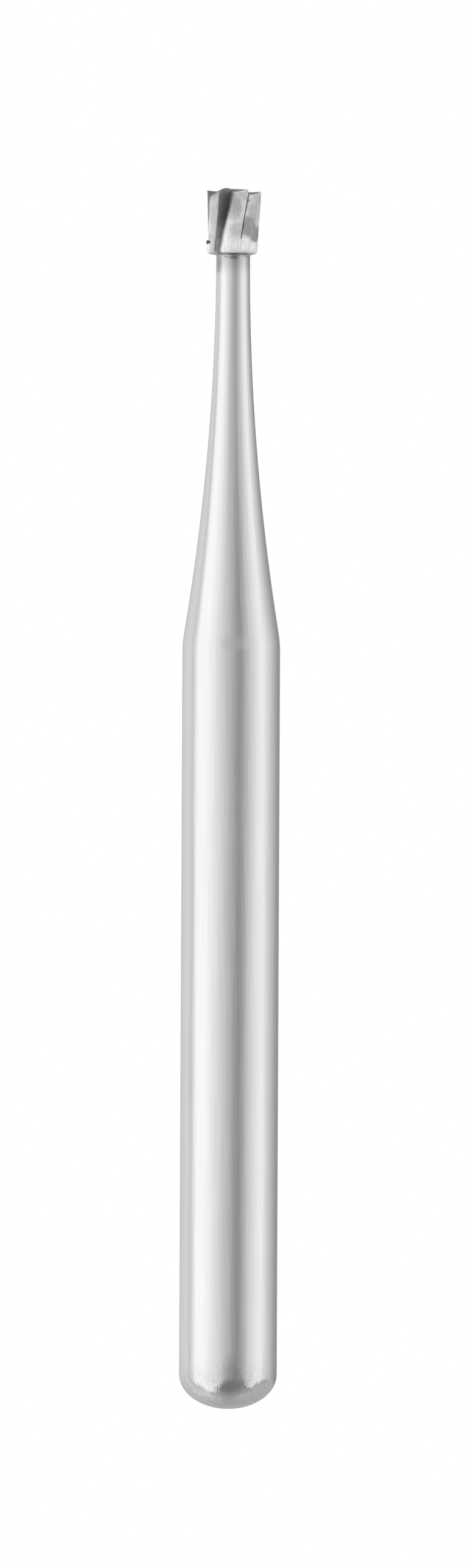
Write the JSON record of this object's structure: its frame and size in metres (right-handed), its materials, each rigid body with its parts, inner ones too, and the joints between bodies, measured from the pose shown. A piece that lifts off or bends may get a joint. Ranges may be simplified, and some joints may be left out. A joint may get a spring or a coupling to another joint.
{
  "type": "dental bur",
  "caption": "Slender rotary cutting bur with a fluted inverted-cone head, a tapered neck and a smooth round friction-grip shank with a domed end.",
  "frame": {"origin": "lowest point of the shank's domed end, on the axis", "axes": "+Z along the bur's axis, from the shank's end to the cutting end; -Y is the side that the picture shows"},
  "size_m": [0.0016, 0.0016, 0.02],
  "materials": {
    "ground_carbide": "bright ground hard metal: fine drawn lines along the shank, ground and slightly stained flutes, matt domed end"
  },
  "bodies": {
    "root": {"bur": "ground_carbide"}
  },
  "joints": []
}
